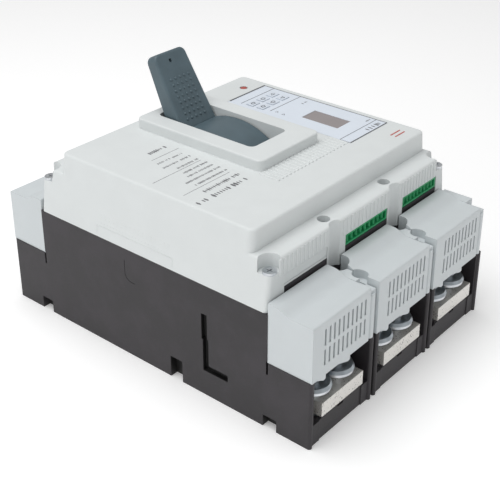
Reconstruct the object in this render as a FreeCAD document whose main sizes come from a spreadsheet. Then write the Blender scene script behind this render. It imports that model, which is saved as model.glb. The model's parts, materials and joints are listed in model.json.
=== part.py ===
import FreeCAD, Part
import math
import os
import re

import Sketcher

# Three-pole moulded-case air circuit breaker lying on its back.
# X runs across the poles, -Y is the line (top) end, +Y the load end, +Z the operating face.
# The origin is the centre of the back face. Every length is in millimetres, every angle in degrees.

SIZES = {
    # case
    "pole_pitch": 70,
    "case_length": 282,
    "end_length": 35,
    "base_height": 87,
    "bay_height": 51,
    "floor_thick": 6,
    "end_wall": 5,
    "partition": 8,
    "bay_wall": 5,
    "bay_depth": 32,
    "bay_floor": 15.7,
    "pole_slot": 2.6,
    "pole_slot_depth": 22,
    "junction_slit": 1.6,
    "end_recess": 1.5,
    "lip_recess": 0.6,
    "lip_notch": 1.6,
    "slot_depth": 3.4,
    "notch_depth": 6,
    "notch_wall": 2,
    "mark_depth": 0.4,
    # mounting holes, between the poles
    "mount_radius": 3.25,
    "mount_outset": 2.7,
    "channel_radius": 7.2,
    # front cover
    "cover_wall": 3,
    "cover_top": 136.5,
    "side_lean": 7,
    "step_drop": 15.5,
    "step_inset": 1,
    "front_inset": 17,
    "back_inset": 20,
    "corner_round": 5,
    "edge_round": 1.8,
    "screw_side_inset": 8,
    "screw_end_inset": 5,
    "screw_notch": 7.6,
    "screw_sink": 9.6,
    "screw_head": 4.6,
    "screw_head_tall": 1.8,
    "screw_shank": 2,
    "screw_drive": 2.4,
    "drive_width": 0.8,
    "drive_depth": 1.4,
    "deep_hole": 4.4,
    "deep_inset": 10.4,
    "deep_sink": 6,
    # handle window and its raised bezel
    "bezel_half": 33.3,
    "bezel_front": -41.5,
    "bezel_back": 77,
    "bezel_rise": 8,
    "window_half": 19.4,
    "window_reach": 45.5,
    "window_corner": 4.5,
    "well_wall": 1.6,
    "well_depth": 14.5,
    # handle and mechanism, hinge lines given by their Y and Z
    "pivot_y": 23,
    "pivot_z": 81.6,
    "handle_lean": 28,
    "shield_radius": 60,
    "shield_thick": 2.5,
    "shield_half": 18.2,
    "shield_reach": 80,
    "grip_reach": 117.7,
    "grip_foot": 37.4,
    "grip_tip": 32,
    "grip_foot_thick": 15,
    "grip_tip_thick": 10,
    "grip_corner": 5,
    "grip_round": 2,
    "yoke_out": 17,
    "plate_thick": 2,
    "yoke_width": 12,
    "yoke_top": 54,
    "plate_in": 19,
    "hinge_pin": 3,
    "tang_half": 12,
    "tang_thick": 6,
    "spring_x": 10.2,
    "spring_radius": 3,
    "spring_foot": 10,
    "run_gap": 0.06,
    "free_gap": 0.4,
    # contact shaft
    "shaft_y": 2,
    "shaft_z": 52,
    "shaft_radius": 8,
    "shaft_clear": 0.6,
    "open_angle": 26,
    "hub_wall": 1.6,
    "lug_reach": 14,
    "lug_turn": 24.3,
    "lug_half": 1.5,
    "lug_boss": 5,
    "arm_width": 12,
    "arm_reach": 52,
    "arm_drop": 17.7,
    "contact_gap": 0.3,
    # toggle links between cradle and contact shaft, tilts measured down from +Y
    "cradle_y": 24,
    "cradle_z": 90.4,
    "upper_length": 14,
    "upper_tilt": 36.05,
    "lower_length": 36,
    "lower_tilt": 122.2,
    "link_pin": 2.5,
    "link_half": 3.6,
    "link_thick": 2,
    "lower_in": 2,
    "upper_in": 4.6,
    "lug_gap": 0.35,
    "shaft_end_y": -6,
    "shaft_end_z": 96,
    "latch_y": 65,
    "latch_z": 95.5,
    "latch_pin": 1.5,
    # current path
    "bar_width": 45,
    "bar_thick": 10.5,
    "bar_low": 18.5,
    "bar_inset": 0.5,
    "line_bar_inner": -36,
    "load_bar_inner": 40,
    "bolt_inset": 12,
    "bolt_left": -16.5,
    "bolt_right": 8,
    "bolt_radius": 4,
    "bolt_clear": 0.5,
    "bolt_neck": 3.6,
    "bolt_head": 13,
    "bolt_head_tall": 5.3,
    "washer_radius": 11.5,
    "washer_thick": 2.2,
    "cone_rim": 0.5,
    "cone_thick": 2.4,
    "washer_lift": 5.3,
    "nut_tall": 6.5,
    # arc chutes and current sensors
    "chute_clear": 4.5,
    "chute_wall": 2.5,
    "chute_near": -58,
    "chute_far": -98,
    "chute_low": 36,
    "chute_high": 86,
    "splitter_thick": 1.6,
    "splitter_pitch": 6.5,
    "sensor_clear": 3,
    "sensor_near": 60,
    "sensor_far": 82,
    "sensor_high": 56,
    # terminal covers
    "shroud_gap": 0.4,
    "shroud_low": 91,
    "shroud_rise": 4,
    "shroud_wall": 2.4,
    "shroud_curve": 14,
    "shroud_edge": 1.2,
    "face_right": 25.8,
    "bead_drop": 5,
    "vent_first": -22,
    "vent_pitch": 4.72,
    "vent_width": 1.7,
    "pocket_radius": 5.5,
    "pocket_inset": 15,
    # trip unit
    "face_inset": 12.5,
    "face_width": 47.5,
    "face_front": -60,
    "face_back": 58,
    "face_thick": 1.2,
    "screen_inset": 15,
    "screen_width": 17,
    "screen_front": -37.5,
    "screen_back": -4.5,
    "key_length": 8.4,
    "key_depth": 6.4,
    "key_proud": 0.5,
    "key_gap": 0.3,
    "key_flange": 0.7,
    "key_inset": 11.5,
    "key_row": 30,
    "key_pitch_x": 12,
    "key_pitch_y": 10,
    "unit_left_margin": 1.5,
    "unit_right_margin": 1,
    "unit_low": 100,
    "unit_wall": 2,
    "board_sink": 9.5,
    "board_thick": 1.6,
    "switch_sink": 4.5,
    "button_inset": 32.8,
    "button_y": 67.7,
    "button_radius": 2.7,
    "trip_y": 78,
    "trip_z": 97,
    "trip_radius": 3,
    "tab_reach": 16,
    "tab_top": 3,
    # pluggable signal headers
    "header_lift": 11.4,
    "header_tall": 8.2,
    "recess_depth": 14,
    "header_wall": 1.4,
    "stand_gap": 0.2,
}

# Sizes that follow from those in the sheet.
FOLLOWING = {
    "case_width": "3*pole_pitch",
    "body_length": "case_length - 2*end_length",
    "bay_width": "pole_pitch - 2*bay_wall",
    "cavity_half": "(pole_pitch - partition)/2",
    "mount_reach": "body_length/2 + mount_outset",
    "step_top": "cover_top - step_drop",
    "step_reach": "body_length/2 - step_inset",
    "top_front": "body_length/2 - front_inset",
    "top_back": "body_length/2 - back_inset",
    "screw_x": "case_width/2 - screw_side_inset",
    "screw_reach": "body_length/2 - screw_end_inset",
    "screw_seat": "step_top - screw_sink",
    "deep_reach": "body_length/2 - deep_inset",
    "deep_seat": "step_top - deep_sink",
    "bezel_top": "cover_top + bezel_rise",
    "well_foot": "cover_top - well_depth",
    "shaft_half": "pole_pitch + cavity_half - shaft_clear",
    "hub_radius": "shaft_radius + hub_wall",
    "bar_end": "case_length/2 - bar_inset",
    "bolt_reach": "case_length/2 - bolt_inset",
    "cone_radius": "washer_radius + cone_rim",
    "chute_half": "cavity_half - chute_clear",
    "sensor_half": "cavity_half - sensor_clear",
    "shroud_high": "shroud_low + shroud_rise",
    "bead_top": "shroud_low - bead_drop",
    "pocket_reach": "case_length/2 - pocket_inset",
    "face_far": "case_width/2 - face_inset",
    "face_left": "face_far - face_width",
    "screen_left": "face_left + screen_inset",
    "screen_right": "screen_left + screen_width",
    "key_column": "face_left + key_inset",
    "unit_left": "face_left - unit_left_margin",
    "unit_right": "face_far + unit_right_margin",
    "board_low": "cover_top - board_sink",
    "switch_top": "cover_top - switch_sink",
    "button_x": "face_left + button_inset",
    "header_low": "base_height + header_lift",
    "header_high": "header_low + header_tall",
}

POLES = {"left": -1, "middle": 0, "right": 1}
ENDS = {"line": -1, "load": 1}

doc = FreeCAD.newDocument("CircuitBreaker")
sheet = doc.addObject("Spreadsheet::Sheet", "Sizes")
for row, (alias, value) in enumerate(SIZES.items(), start=1):
    sheet.set(f"A{row}", alias)
    sheet.set(f"B{row}", str(value))
    sheet.setAlias(f"B{row}", alias)
doc.recompute()

WORD = re.compile(r"[A-Za-z_][A-Za-z_0-9]*")
pieces = {}


def sheet_terms(expression):
    """Writes each size in an expression as a reference to its cell, and each following size in full."""
    def term(match):
        word = match[0]
        if word in FOLLOWING:
            return f"({sheet_terms(FOLLOWING[word])})"
        return f"Sizes.{word}" if word in SIZES else word
    return WORD.sub(term, str(expression))


def worked(expression):
    """The present value of an expression, for a first guess at sketch points."""
    result = sheet.evalExpression(sheet_terms(expression))
    return float(getattr(result, "Value", result))


def bind(item, target, expression):
    item.setExpression(target, sheet_terms(expression))


def place(item, x="0", y="0", z="0"):
    for axis, expression in zip("xyz", (x, y, z)):
        bind(item, f".Placement.Base.{axis}", expression)
    return item


def turned(item, angle, way=-1):
    """Turns an item about the X line through its own origin by a bound angle; way -1 lowers its +Y side."""
    item.Placement = FreeCAD.Placement(FreeCAD.Vector(), FreeCAD.Rotation(FreeCAD.Vector(way, 0, 0), 1))
    bind(item, ".Placement.Rotation.Angle", angle)
    return item


def span(end, near, far):
    """A pair of Y limits at the load end, or mirrored to the line end."""
    return (near, far) if end > 0 else (f"-({far})", f"-({near})")


def box(name, x, y, z):
    item = doc.addObject("Part::Box", name)
    for edge, (low, high) in zip(("Length", "Width", "Height"), (x, y, z)):
        bind(item, edge, f"({high}) - ({low})")
    return place(item, x[0], y[0], z[0])


def rod(name, along, centre, radius, ends):
    """A cylinder along X, Y or Z; centre holds its two other coordinates in X, Y, Z order."""
    item = doc.addObject("Part::Cylinder", name)
    turns = {"X": FreeCAD.Rotation(0, 90, 0), "Y": FreeCAD.Rotation(0, 0, -90), "Z": FreeCAD.Rotation()}
    item.Placement = FreeCAD.Placement(FreeCAD.Vector(), turns[along])
    bind(item, "Radius", radius)
    bind(item, "Height", f"({ends[1]}) - ({ends[0]})")
    first, second = centre
    spots = {"X": (ends[0], first, second), "Y": (first, ends[0], second), "Z": (first, second, ends[0])}
    return place(item, *spots[along])


def outlined(body, name, plane, outline):
    """A closed outline in a body, each corner held by two bound distances."""
    sketch = body.newObject("Sketcher::SketchObject", name)
    support = [f for f in body.Origin.OriginFeatures if f.Role == plane + "_Plane"][0]
    sketch.AttachmentSupport = [(support, "")]
    sketch.MapMode = "FlatFace"
    spots = [FreeCAD.Vector(worked(u), worked(v), 0) for u, v in outline]
    count = len(spots)
    for i in range(count):
        sketch.addGeometry(Part.LineSegment(spots[i], spots[(i + 1) % count]), False)
    for i in range(count):
        sketch.addConstraint(Sketcher.Constraint("Coincident", i, 2, (i + 1) % count, 1))
    for i, (pair, spot) in enumerate(zip(outline, spots)):
        for kind, expression, value in zip(("DistanceX", "DistanceY"), pair, (spot.x, spot.y)):
            number = sketch.addConstraint(Sketcher.Constraint(kind, -1, 1, i, 1, value))
            bind(sketch, f"Constraints[{number}]", expression)
    return sketch


def prism(name, plane, outline, ends):
    """A body padded from a closed outline on the XY, XZ or YZ plane, between two limits along its normal."""
    body = doc.addObject("PartDesign::Body", name)
    pad = body.newObject("PartDesign::Pad", name + "_pad")
    pad.Profile = outlined(body, name + "_outline", plane, outline)
    bind(pad, "Length", f"({ends[1]}) - ({ends[0]})")
    start = {"XY": ("0", "0", ends[0]), "XZ": ("0", ends[1], "0"), "YZ": (ends[0], "0", "0")}
    return place(body, *start[plane])


def tapered(name, low, high):
    """A body tapered along Z between two centred rectangles, each given by its half widths and its height."""
    body = doc.addObject("PartDesign::Body", name)
    wedge = body.newObject("PartDesign::AdditiveWedge", name + "_wedge")
    wedge.Placement = FreeCAD.Placement(FreeCAD.Vector(), FreeCAD.Rotation(FreeCAD.Vector(1, 0, 0), 90))
    for limit, sign, end in (("min", "-", low), ("max", "", high)):
        for edge, (across, deep, _) in (("", low), ("2", high)):
            bind(wedge, f"X{edge}{limit}", f"{sign}({across})")
            bind(wedge, f"Z{edge}{limit}", f"{sign}({deep})")
        bind(wedge, f"Y{limit}", end[2])
    return body


def rounded(body, radius, wanted):
    """Rounds the edges of a body's last feature whose two ends pass a test, in the body's own frame."""
    doc.recompute()
    tip = body.Tip
    names = []
    for number, edge in enumerate(tip.Shape.Edges, start=1):
        if len(edge.Vertexes) == 2 and wanted(edge.Vertexes[0].Point, edge.Vertexes[1].Point):
            names.append(f"Edge{number}")
    fillet = body.newObject("PartDesign::Fillet", f"{body.Name}_round_{len(body.Group)}")
    fillet.Base = (tip, names)
    bind(fillet, "Radius", radius)
    body.Tip = fillet
    return body


def joined(name, items):
    item = doc.addObject("Part::MultiFuse", name)
    item.Shapes = items
    item.Refine = True
    return item


def cut(name, base, tools):
    item = doc.addObject("Part::Cut", name)
    item.Base = base
    item.Tool = tools[0] if len(tools) == 1 else joined(name + "_tools", tools)
    item.Refine = True
    return item


def group(name, items):
    item = doc.addObject("Part::Compound", name)
    item.Links = items
    return item


def keep(node, item):
    item.Label = node
    pieces[node] = item
    return item


def upright(a, b):
    return abs(a.x - b.x) < 1e-6 and abs(a.y - b.y) < 1e-6


def corner_at(y, z):
    """A test for the edge that runs along X through one corner, at either end of the case."""
    return lambda a, b: all(abs(abs(v.y) - y) + abs(v.z - z) < 1e-3 for v in (a, b))


HALF_WIDTH = "case_width/2"
HALF_BODY = "body_length/2"
HALF_CASE = "case_length/2"
CAVITY_END = "body_length/2 - end_wall"
BAY_END = "case_length/2 - bay_depth"
END_FACE = "case_length/2 - end_recess"
BAR_TOP = "bar_low + bar_thick"

# Header and blank-plate recesses: pole side, left and right limits from the pole's centre line.
RECESSES = {"left": ("-17.5", "27.5"), "middle": ("-22.5", "27.5"), "right": ("-23.5", "21.5")}


def pole_centre(pole):
    return f"({pole})*pole_pitch"


def about(centre, low, high):
    """Two limits given from a pole's centre line."""
    return (f"{centre} + ({low})", f"{centre} + ({high})")


def make_base():
    solid = joined("base_block", [
        box("base_body", (f"-{HALF_WIDTH}", HALF_WIDTH), (f"-{HALF_BODY}", HALF_BODY), ("0", "base_height")),
        box("base_ends", (f"-{HALF_WIDTH}", HALF_WIDTH), (f"-({END_FACE})", END_FACE), ("0", "bay_height")),
    ] + wall_noses() + header_stands())
    tools = []
    for side, pole in POLES.items():
        centre = pole_centre(pole)
        tools.append(box(f"cavity_{side}", about(centre, "-cavity_half", "cavity_half"),
                         (f"-({CAVITY_END})", CAVITY_END), ("floor_thick", "base_height + 1")))
        for end_name, end in ENDS.items():
            tag = f"{side}_{end_name}"
            tools.append(box(f"bay_{tag}", about(centre, "-bay_width/2", "bay_width/2"),
                             span(end, BAY_END, f"{HALF_CASE} + 1"), ("bay_floor", "bay_height + 1")))
            tools.append(box(f"lip_face_{tag}", about(centre, "-bar_width/2 - 0.5", "bar_width/2 + 0.5"),
                             span(end, f"{END_FACE} - lip_recess", f"{HALF_CASE} + 1"),
                             ("-1", "bay_floor + 1")))
            tools.append(box(f"bar_way_{tag}", about(centre, "-bar_width/2", "bar_width/2"),
                             span(end, f"{CAVITY_END} - 1", f"{BAY_END} + 1"), ("bar_low", BAR_TOP)))
            tools.append(box(f"lip_notch_{tag}", about(centre, "-3", "3"),
                             span(end, f"{END_FACE} - lip_recess - lip_notch", f"{HALF_CASE} + 1"),
                             ("bay_floor - lip_notch", "bay_floor + 1")))
            for place_name in ("left", "right"):
                tools.append(rod(f"nut_pocket_{tag}_{place_name}", "Z",
                                 (f"{centre} + bolt_{place_name}", f"({end})*bolt_reach"),
                                 "bolt_head*0.5774 + 0.4",
                                 ("bar_low - 0.2 - nut_tall", "bay_floor + 1")))
    for number, step in enumerate((-0.5, 0.5)):
        middle = f"({step})*pole_pitch"
        tools.append(box(f"shaft_way_{number}", about(middle, "-partition/2 - 1", "partition/2 + 1"),
                         ("shaft_y - shaft_radius - free_gap", "shaft_y + shaft_radius + free_gap"),
                         ("shaft_z", "base_height + 1")))
        tools.append(rod(f"shaft_saddle_{number}", "X", ("shaft_y", "shaft_z"), "shaft_radius + free_gap",
                         about(middle, "-partition/2 - 1", "partition/2 + 1")))
        for end_name, end in ENDS.items():
            tag = f"{number}_{end_name}"
            reach = f"({end})*mount_reach"
            tools.append(rod(f"mount_hole_{tag}", "Z", (middle, reach), "mount_radius",
                             ("-1", "base_height + 1")))
            tools.append(rod(f"mount_channel_{tag}", "Z", (middle, reach), "channel_radius",
                             ("bay_height", "base_height + 1")))
            tools.append(box(f"pole_slot_{tag}", about(middle, "-pole_slot/2", "pole_slot/2"),
                             span(end, f"{HALF_CASE} - pole_slot_depth", f"{HALF_CASE} + 1"),
                             ("-1", "bay_height + 1")))
    hollowed = cut("base_hollowed", solid, tools)
    bosses, side_cuts = side_details()
    keep("base", cut("base", joined("base_solid", [hollowed] + bosses), side_cuts))


def wall_noses():
    """Rounded noses on the ends of the bay walls, standing a little proud of the end faces."""
    radius = "(pole_pitch - pole_slot - bay_width)/4"
    noses = []
    for side, pole in POLES.items():
        for wall, sign in (("left", -1), ("right", 1)):
            outer = "pole_pitch/2" if pole == sign else "(pole_pitch - pole_slot)/2"
            for end_name, end in ENDS.items():
                spot = (f"{pole_centre(pole)} + ({sign})*({outer} - {radius})",
                        f"({end})*({HALF_CASE} - {radius})")
                noses.append(rod(f"nose_{side}_{wall}_{end_name}", "Z", spot, radius, ("0", "bay_height")))
    return noses


def header_stands():
    """Low walls that rise from the line end into the header recesses of the front cover."""
    return [box(f"header_stand_{side}",
                about(pole_centre(POLES[side]), f"{low} + stand_gap", f"{high} - stand_gap"),
                ("-(step_reach - stand_gap)", f"-({CAVITY_END})"), ("base_height - 1", "header_low - stand_gap"))
            for side, (low, high) in RECESSES.items()]


# Side details, as limits along Y and Z: latch slots, foot notches, and the Y and Z of a hooked mark.
LATCH_SLOTS = {"upper": ((-55.4, -50.4), (44.5, 64.6)), "lower": ((-56.4, -51.4), (19.7, 45.5)),
               "foot": ((-73, -51.4), (19.7, 24.9))}
NOTCHES = {"front": (-113.9, -102.8, 9), "centre": (-31.9, -20.9, 17), "back": (102.8, 113.9, 10)}
HOOK = {"tail": 10.7, "post": 20.3, "low": 61.8, "high": 77.7, "wide": 0.5, "bend": 6}


def side_details():
    """What both long sides share: bosses left inside for the foot notches, and every cut from outside."""
    bosses, cuts = [], []
    for side, sign in (("left", -1), ("right", 1)):
        def face(depth, out="1"):
            low, high = f"{HALF_WIDTH} - ({depth})", f"{HALF_WIDTH} + ({out})"
            return (low, high) if sign > 0 else (f"-({high})", f"-({low})")
        for name, (y, z) in LATCH_SLOTS.items():
            cuts.append(box(f"latch_{name}_{side}", face("slot_depth"), y, z))
        for name, (low, high, tall) in NOTCHES.items():
            cuts.append(box(f"notch_{name}_{side}", face("notch_depth"), (low, high), ("-1", tall)))
            bosses.append(box(f"boss_{name}_{side}", face("notch_depth + notch_wall", "-1"),
                              (f"{low} - notch_wall", f"{high} + notch_wall"), ("1", f"{tall} + notch_wall")))
        cuts.append(hook_mark(f"hook_{side}", face("mark_depth")))
        for end_name, end in ENDS.items():
            cuts.append(box(f"slit_{side}_{end_name}", face("slot_depth"),
                            span(end, f"{HALF_BODY} - junction_slit/2", f"{HALF_BODY} + junction_slit/2"),
                            ("bay_height - 9", "bay_height + 1")))
    return bosses, cuts


def hook_mark(name, ends):
    post, tail, low, wide = (HOOK[key] for key in ("post", "tail", "low", "wide"))
    hook = prism(name, "YZ", [(tail, low), (post, low), (post, HOOK["high"]), (post - wide, HOOK["high"]),
                              (post - wide, low + wide), (tail, low + wide)], ends)
    for y, z, radius in ((post, low, HOOK["bend"]), (post - wide, low + wide, HOOK["bend"] - wide)):
        rounded(hook, radius, corner_at(y, z))
    return hook


def make_front_cover():
    slope = "side_lean/(cover_top - base_height)"

    def half_at(height, inset="0"):
        return f"{HALF_WIDTH} - ({slope})*(({height}) - base_height) - ({inset})"

    shell = prism("cover_shell", "XZ",
                  [(f"-({half_at('base_height')})", "base_height"), (half_at("base_height"), "base_height"),
                   (half_at("cover_top"), "cover_top"), (f"-({half_at('cover_top')})", "cover_top")],
                  ("-top_front", "top_back"))
    top = worked("cover_top")
    rounded(shell, "corner_round",
            lambda a, b: abs(a.y - b.y) < 1e-6 and abs(a.z - b.z) > 10)
    rounded(shell, "edge_round", lambda a, b: min(a.z, b.z) > top - 0.01)
    steps = prism("cover_steps", "XZ",
                  [(f"-({half_at('base_height')})", "base_height"), (half_at("base_height"), "base_height"),
                   (half_at("step_top"), "step_top"), (f"-({half_at('step_top')})", "step_top")],
                  ("-step_reach", "step_reach"))
    step_z = worked("step_top")
    rounded(steps, "corner_round*0.6", lambda a, b: abs(a.y - b.y) < 1e-6 and abs(a.z - b.z) > 10)
    rounded(steps, "edge_round", lambda a, b: min(a.z, b.z) > step_z - 0.01)
    bezel = prism("bezel_block", "XY",
                  [("-bezel_half", "bezel_front"), ("bezel_half", "bezel_front"),
                   ("bezel_half", "bezel_back"), ("-bezel_half", "bezel_back")],
                  ("cover_top - 1", "bezel_top"))
    rounded(bezel, "corner_round", upright)
    rim = worked("bezel_top - cover_top + 1")
    rounded(bezel, "edge_round*0.7", lambda a, b: min(a.z, b.z) > rim - 0.01)
    well = box("well_block", ("-(window_half + well_wall)", "window_half + well_wall"),
               ("pivot_y - window_reach - well_wall", "pivot_y + window_reach + well_wall"),
               ("well_foot", "bezel_top - 1"))
    hollow = joined("cover_hollow", [
        prism("hollow_low", "XZ",
              [(f"-({half_at('base_height', 'cover_wall')})", "base_height - 1"),
               (half_at("base_height", "cover_wall"), "base_height - 1"),
               (half_at("step_top", "cover_wall"), "step_top - cover_wall"),
               (f"-({half_at('step_top', 'cover_wall')})", "step_top - cover_wall")],
              ("-(step_reach - recess_depth - cover_wall)", "step_reach - recess_depth - cover_wall")),
        prism("hollow_high", "XZ",
              [(f"-({half_at('step_top', 'cover_wall')})", "step_top - cover_wall - 1"),
               (half_at("step_top", "cover_wall"), "step_top - cover_wall - 1"),
               (half_at("cover_top", "cover_wall + 1"), "cover_top - cover_wall"),
               (f"-({half_at('cover_top', 'cover_wall + 1')})", "cover_top - cover_wall")],
              ("-(top_front - cover_wall)", "top_back - cover_wall")),
        box("hollow_bezel", ("-(bezel_half - cover_wall)", "bezel_half - cover_wall"),
            ("bezel_front + cover_wall", "bezel_back - cover_wall"),
            ("cover_top - cover_wall - 1", "bezel_top - cover_wall")),
    ])
    hollowed = cut("cover_hollowed", joined("cover_outside", [shell, steps, bezel]), [hollow])
    walled = joined("cover_walled", [hollowed, well] + shaft_ribs())
    mouth = prism("window_mouth", "XY",
                  [("-window_half", "pivot_y - window_reach"), ("window_half", "pivot_y - window_reach"),
                   ("window_half", "pivot_y + window_reach"), ("-window_half", "pivot_y + window_reach")],
                  ("cover_top - cover_wall", "bezel_top + 1"))
    tools = [rounded(mouth, "window_corner", upright),
             box("handle_window", ("-window_half", "window_half"),
                 ("pivot_y - window_reach", "pivot_y + window_reach"),
                 ("well_foot - 1", "cover_top - cover_wall"))]
    tools.append(box("face_recess", ("face_left - 0.3", "face_far + 0.3"),
                     ("face_front - 0.3", "face_back + 0.3"), ("cover_top - face_thick", "cover_top + 1")))
    tools.append(box("face_opening", ("face_left + 5", "face_far - 5"), ("face_front + 15", "face_back - 10"),
                     ("cover_top - cover_wall - 1", "cover_top")))
    tools.append(rod("button_hole", "Z", ("button_x", "button_y"), "button_radius + 0.5",
                     ("step_top - cover_wall", "cover_top + 1")))
    tools += cover_front_cuts()
    keep("front_cover", cut("front_cover", walled, tools))


def shaft_ribs():
    """Ribs that reach down from the cover into the partition notches and hold the contact shaft down."""
    ribs = []
    for number, step in enumerate((-0.5, 0.5)):
        middle = f"({step})*pole_pitch"
        ribs.append(box(f"shaft_rib_{number}", about(middle, "-partition/2 + 0.5", "partition/2 - 0.5"),
                        ("shaft_y - shaft_radius", "shaft_y + shaft_radius"),
                        ("shaft_z + shaft_radius + free_gap", "cover_top - 1")))
    return ribs


def cover_front_cuts():
    items = []
    for end_name, end in ENDS.items():
        for side, sign in (("left", -1), ("right", 1)):
            items.append(rod(f"screw_notch_{side}_{end_name}", "Z",
                             (f"({sign})*screw_x", f"({end})*screw_reach"), "screw_notch",
                             ("screw_seat", "cover_top + 1")))
            items.append(rod(f"screw_way_{side}_{end_name}", "Z",
                             (f"({sign})*screw_x", f"({end})*screw_reach"), "screw_shank + free_gap",
                             ("base_height - 1", "screw_seat + 1")))
            middle = f"({sign})*pole_pitch/2"
            items.append(rod(f"cover_channel_{side}_{end_name}", "Z", (middle, f"({end})*mount_reach"),
                             "channel_radius", ("base_height - 1", "step_top + 1")))
            items.append(rod(f"deep_hole_{side}_{end_name}", "Z", (middle, f"({end})*deep_reach"),
                             "deep_hole", ("deep_seat", "step_top + 1")))
            items.append(rod(f"deep_way_{side}_{end_name}", "Z", (middle, f"({end})*deep_reach"),
                             "screw_shank + free_gap", ("base_height - 1", "deep_seat + 1")))
    for side, (low, high) in RECESSES.items():
        items.append(box(f"recess_{side}", about(pole_centre(POLES[side]), low, high),
                         ("-(step_reach + 1)", "-(step_reach - recess_depth)"),
                         ("header_low - stand_gap", "header_high + 0.3")))
        items.append(box(f"stand_way_{side}", about(pole_centre(POLES[side]), low, high),
                         (f"-({HALF_BODY} + 1)", f"-({CAVITY_END} - stand_gap)"),
                         ("base_height - 1", "header_low")))
    return items


def make_headers():
    for side in ("middle", "right"):
        low, high = RECESSES[side]
        centre = pole_centre(POLES[side])
        housing = box(f"housing_{side}", about(centre, f"{low} + 0.3", f"{high} - 0.3"),
                      ("-(step_reach - 0.5)", "-(step_reach - recess_depth)"), ("header_low", "header_high"))
        socket = box(f"socket_{side}",
                     about(centre, f"{low} + 0.3 + header_wall", f"{high} - 0.3 - header_wall"),
                     ("-(step_reach + 1)", "-(step_reach - recess_depth + header_wall)"),
                     ("header_low + header_wall", "header_high - header_wall"))
        keep(f"signal_header_{side}", cut(f"signal_header_{side}", housing, [socket]))
    pins = []
    for side in ("middle", "right"):
        low, high = RECESSES[side]
        count = 8
        for number in range(count):
            x = f"{pole_centre(POLES[side])} + ({low}) + (({high}) - ({low}))*({number} + 0.5)/{count}"
            pins.append(box(f"pin_{side}_{number}", (f"{x} - 0.5", f"{x} + 0.5"),
                            ("-(step_reach - 5)", "-(step_reach - recess_depth + header_wall)"),
                            ("(header_low + header_high)/2 - 0.5", "(header_low + header_high)/2 + 0.5")))
    keep("header_pins", group("header_pins", pins))
    low, high = RECESSES["left"]
    plate = box("plate_block", about(pole_centre(-1), f"{low} + 0.3", f"{high} - 0.3"),
                ("-(step_reach - 0.4)", "-(step_reach - 3)"), ("header_low", "header_high"))
    line = box("plate_line", about(pole_centre(-1), low, high), ("-step_reach", "-(step_reach - 0.8)"),
               ("header_low + 1.6", "header_low + 2"))
    keep("blank_plate", cut("blank_plate", plate, [line]))


def make_terminal_covers():
    for end_name, end in ENDS.items():
        for side, pole in POLES.items():
            make_shroud(f"{end_name}_cover_{side}", end, pole)


def make_shroud(node, end, pole):
    """One terminal cover: a hood with a stepped top, vent slots and a lower bead strip beside it."""
    centre = pole_centre(pole)
    half = "pole_pitch/2 - shroud_gap"
    inner = HALF_BODY

    def points(pairs):
        return [(f"({end})*({y})", z) for y, z in pairs]

    low_bend, high_bend = f"{HALF_CASE} - 18.5", f"{HALF_CASE} - 27"
    hood = prism(f"{node}_hood", "YZ",
                 points([(HALF_CASE, "bay_height"), (HALF_CASE, "shroud_low"), (low_bend, "shroud_low"),
                         (high_bend, "shroud_high"), (inner, "shroud_high"), (inner, "bay_height")]),
                 about(centre, f"-({half})", "face_right"))
    for reach, height, radius in ((HALF_CASE, "shroud_low", "shroud_edge"),
                                  (low_bend, "shroud_low", "shroud_curve"),
                                  (high_bend, "shroud_high", "shroud_curve")):
        rounded(hood, radius, corner_at(worked(reach), worked(height)))
    bead = box(f"{node}_bead_base", about(centre, "face_right", half),
               span(end, inner, f"{HALF_CASE} - 2"), ("bay_height", "bead_top"))
    back = box(f"{node}_bead_back", about(centre, "face_right", half),
               span(end, inner, f"{HALF_CASE} - 12"), ("bay_height", "shroud_low + 0.4"))
    rib = rod(f"{node}_rib", "Z", (f"{centre} + (face_right + {half})/2", f"({end})*({HALF_CASE} - 3)"), "3",
              ("bay_height", "bead_top - 2"))
    tabs = []
    for number, (low, high) in enumerate((("-29.6", "-20.5"), ("-7", "5.5"))):
        tabs.append(prism(f"{node}_tab_{number}", "XZ",
                          [(f"{centre} + {low}", "bay_height"), (f"{centre} + {high} - 2", "bay_height - 3.6"),
                           (f"{centre} + {high}", "bay_height - 3"), (f"{centre} + {high}", "bay_height + 1"),
                           (f"{centre} + {low}", "bay_height + 1")],
                          span(end, f"{HALF_CASE} - shroud_wall", HALF_CASE)))
    tools = [box(f"{node}_inside", about(centre, "-26", "face_right - shroud_wall"),
                 span(end, f"{inner} + shroud_wall", f"{HALF_CASE} - shroud_wall"),
                 ("bay_height - 5", "shroud_low - 3"))]
    for row_name, low, high in (("low", "58.7", "70.3"), ("high", "73.2", "85.2")):
        for number in range(10):
            x = f"{centre} + vent_first + {number}*vent_pitch"
            tools.append(box(f"{node}_vent_{row_name}_{number}", about(x, "-vent_width/2", "vent_width/2"),
                             span(end, f"{HALF_CASE} - shroud_wall - 1", f"{HALF_CASE} + 1"), (low, high)))
    for edge in (-0.5, 0.5):
        if abs(pole + edge) < 1:
            line_x = f"({pole + edge})*pole_pitch"
            name = "left" if edge < 0 else "right"
            tools.append(rod(f"{node}_channel_{name}", "Z", (line_x, f"({end})*mount_reach"),
                             "channel_radius", ("bay_height - 1", "shroud_high + 1")))
            tools.append(rod(f"{node}_pocket_{name}", "Z", (line_x, f"({end})*pocket_reach"), "pocket_radius",
                             ("shroud_low - 6", "shroud_high + 1")))
    keep(node, cut(node, joined(f"{node}_body", [hood, bead, back, rib] + tabs), tools))


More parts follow.
